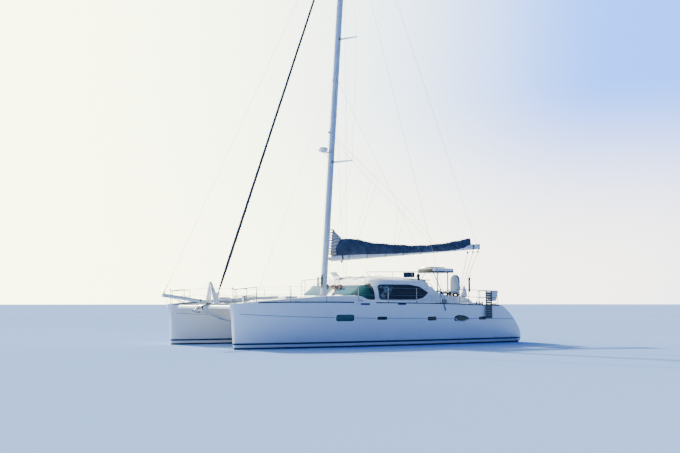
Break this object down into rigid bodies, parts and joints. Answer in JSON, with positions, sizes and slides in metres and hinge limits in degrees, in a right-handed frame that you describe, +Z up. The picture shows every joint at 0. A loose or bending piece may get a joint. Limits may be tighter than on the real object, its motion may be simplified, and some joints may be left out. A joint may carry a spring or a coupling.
{
  "type": "sailing catamaran",
  "caption": "Cruising sailing catamaran with two hulls, a coachroof, a raked mast, a boom with its sail stowed, a furled headsail and a bowsprit, afloat at its waterline.",
  "frame": {"origin": "on the centreline at the waterline, amidships", "axes": "+X towards the bow, +Y to port, +Z up"},
  "size_m": [16.3505, 7.776, 23.6],
  "materials": {
    "gelcoat": "glossy white gelcoat over fibreglass",
    "antifoul": "dark matt antifouling paint",
    "steel": "polished stainless steel",
    "alloy": "white-coated aluminium",
    "bronze": "weathered bronze",
    "navy": "navy acrylic canvas",
    "sailcloth": "weathered white sailcloth",
    "glass": "dark tinted glazing",
    "net": "white knotted polyester net",
    "dark": "dark composite",
    "wood": "varnished teak",
    "seat": "pale vinyl upholstery"
  },
  "bodies": {
    "root": {"anchor": "steel", "bowsprit": "alloy", "bridge_deck": "gelcoat", "cap_shroud_port": "steel", "cap_shroud_starboard": "steel", "coachroof": "gelcoat", "coaming_port": "gelcoat", "coaming_starboard": "gelcoat", "cockpit_bench": "gelcoat", "cockpit_table": "wood", "crossbeam": "alloy", "drive_leg_port": "antifoul", "drive_leg_starboard": "antifoul", "engine_port": "dark", "engine_starboard": "dark", "furled_headsail": "navy", "furler_drum": "dark", "helm_console": "gelcoat", "helm_roof": "gelcoat", "helm_seat": "seat", "hull_port": "gelcoat", "hull_starboard": "gelcoat", "inner_forestay": "steel", "keel_port": "antifoul", "keel_starboard": "antifoul", "lower_shroud_port": "steel", "lower_shroud_starboard": "steel", "mast": "alloy", "mast_guard_port": "steel", "mast_guard_starboard": "steel", "nacelle": "gelcoat", "outer_forestay": "steel", "radome": "gelcoat", "rail_port": "steel", "rail_starboard": "steel", "roof_rail": "steel", "saloon_settee": "seat", "striker": "gelcoat", "trampoline_port": "net", "trampoline_starboard": "net", "windlass": "steel", "window_aft_port": "glass", "window_aft_starboard": "glass", "window_front_port": "glass", "window_front_starboard": "glass"},
    "boom": {"boom": "alloy", "mainsail_cover": "navy", "mainsail_luff": "sailcloth"},
    "wheel": {"steering_wheel": "steel"},
    "door": {"saloon_door": "glass"},
    "roof_hatch": {"roof_hatch_lid": "glass"},
    "rudder_port": {"rudder_port": "antifoul"},
    "propeller_port": {"propeller_port": "bronze"},
    "forepeak_lid_port": {"forepeak_lid_port": "gelcoat"},
    "engine_lid_port": {"engine_lid_port": "gelcoat"},
    "rudder_starboard": {"rudder_starboard": "antifoul"},
    "propeller_starboard": {"propeller_starboard": "bronze"},
    "forepeak_lid_starboard": {"forepeak_lid_starboard": "gelcoat"},
    "engine_lid_starboard": {"engine_lid_starboard": "gelcoat"}
  },
  "joints": [
    {"name": "boom_swing", "type": "hinge", "parent": "root", "child": "boom", "pos_m": [1.04, 0, 3.74], "axis": [-0.0671, 0, 0.9977], "range_deg": [-28, 46]},
    {"name": "wheel_turn", "type": "hinge", "parent": "root", "child": "wheel", "pos_m": [-3.53, 1.3, 2.33], "axis": [1, 0, 0], "range_deg": [-450, 450]},
    {"name": "door_slide", "type": "slide", "parent": "root", "child": "door", "axis": [0, 1, 0], "range_m": [0, 0.95]},
    {"name": "roof_hatch_hinge", "type": "hinge", "parent": "root", "child": "roof_hatch", "pos_m": [-0.05, -1.025, 2.98], "axis": [0, 1, 0], "range_deg": [-130, 0]},
    {"name": "rudder_port_turn", "type": "hinge", "parent": "root", "child": "rudder_port", "pos_m": [-6.15, 2.8, -0.6], "axis": [0, 0, 1], "range_deg": [-35, 35]},
    {"name": "propeller_port_spin", "type": "hinge", "parent": "root", "child": "propeller_port", "pos_m": [-4.05, 2.8, -0.82], "axis": [1, 0, 0], "continuous": true},
    {"name": "rudder_starboard_turn", "type": "hinge", "parent": "root", "child": "rudder_starboard", "pos_m": [-6.15, -2.8, -0.6], "axis": [0, 0, 1], "range_deg": [-35, 35]},
    {"name": "propeller_starboard_spin", "type": "hinge", "parent": "root", "child": "propeller_starboard", "pos_m": [-4.05, -2.8, -0.82], "axis": [1, 0, 0], "continuous": true},
    {"name": "forepeak_lid_port_hinge", "type": "hinge", "parent": "root", "child": "forepeak_lid_port", "pos_m": [5.19, 2.8, 2], "axis": [0, 1, 0], "range_deg": [0, 100]},
    {"name": "engine_lid_port_hinge", "type": "hinge", "parent": "root", "child": "engine_lid_port", "pos_m": [-4.16, 2.97, 1.79], "axis": [0, 1, 0], "range_deg": [0, 95]},
    {"name": "forepeak_lid_starboard_hinge", "type": "hinge", "parent": "root", "child": "forepeak_lid_starboard", "pos_m": [5.19, -2.8, 2], "axis": [0, 1, 0], "range_deg": [0, 100]},
    {"name": "engine_lid_starboard_hinge", "type": "hinge", "parent": "root", "child": "engine_lid_starboard", "pos_m": [-4.16, -2.97, 1.79], "axis": [0, 1, 0], "range_deg": [0, 95]}
  ],
  "couplings": [
    {"joint": "rudder_starboard_turn", "follows": "rudder_port_turn", "ratio": 1},
    {"joint": "wheel_turn", "follows": "rudder_port_turn", "ratio": 12.85}
  ]
}
